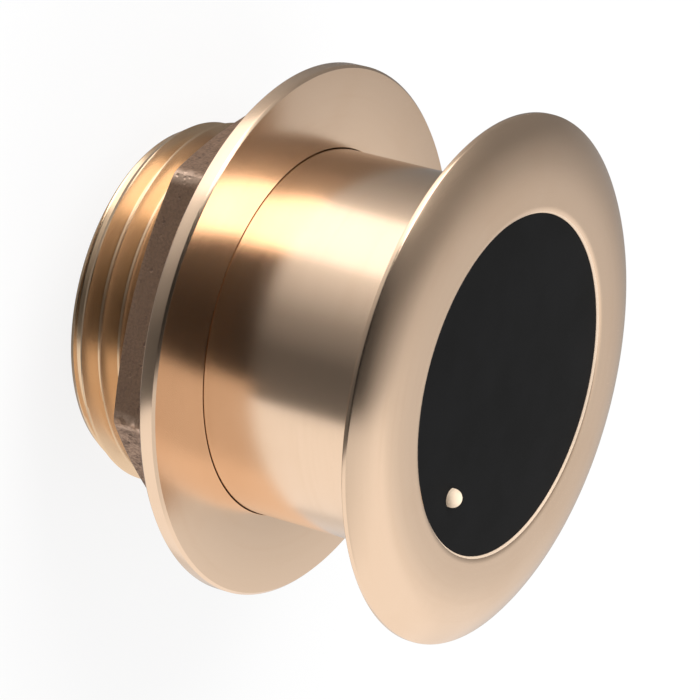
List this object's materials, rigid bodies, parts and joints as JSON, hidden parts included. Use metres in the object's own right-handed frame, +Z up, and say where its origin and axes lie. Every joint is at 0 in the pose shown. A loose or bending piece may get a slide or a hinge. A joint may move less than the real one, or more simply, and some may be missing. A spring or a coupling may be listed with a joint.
{
  "type": "sonar transducer",
  "caption": "Bronze through-hull sonar transducer: mushroom flange with a flush black face, threaded hollow stem and flanged hexagon hull nut that clamp a hull between them.",
  "frame": {"origin": "on the stem's axis, in the plane of the rear rim of the threaded end, which the part stands on", "axes": "+Z runs up the stem's axis from the threaded end to the sonar face; -Y is the side that the picture shows"},
  "size_m": [0.0734, 0.0734, 0.0555],
  "materials": {
    "turned_bronze": "bronze, turned and brushed, satin",
    "cast_bronze": "bronze, sand cast with a turned flange",
    "black_urethane": "cast urethane, matte black",
    "bright_brass": "bright turned metal",
    "silvered_ceramic": "fired ceramic with silvered faces",
    "pressed_cork": "pressed cork",
    "black_plastic": "moulded plastic, matte black",
    "green_board": "fibreglass board with green mask",
    "ferrite": "sintered ferrite, dark grey",
    "enamelled_copper": "enamelled copper wire",
    "yellow_film": "film capacitor with yellow resin",
    "bead_glaze": "glazed bead",
    "red_insulation": "red wire insulation",
    "blue_insulation": "blue wire insulation",
    "potting_epoxy": "cast black epoxy"
  },
  "bodies": {
    "root": {"housing": "turned_bronze", "hull_nut": "cast_bronze", "acoustic_window": "black_urethane", "temperature_pin": "bright_brass", "thermistor_bead": "bead_glaze", "thermistor_lead_1": "red_insulation", "thermistor_lead_2": "red_insulation", "piezo_ceramic": "silvered_ceramic", "element_sleeve": "pressed_cork", "backing_disc": "pressed_cork", "element_carrier": "black_plastic", "ceramic_lead_live": "blue_insulation", "ceramic_lead_ground": "blue_insulation", "circuit_board": "green_board", "board_standoff_1": "bright_brass", "board_standoff_2": "bright_brass", "board_standoff_3": "bright_brass", "transformer_core": "ferrite", "transformer_winding": "enamelled_copper", "tuning_capacitor": "yellow_film", "id_chip": "black_plastic", "rear_potting": "potting_epoxy", "cable_bush": "bright_brass", "cable_seal": "black_urethane", "bush_nut": "bright_brass"}
  },
  "joints": []
}
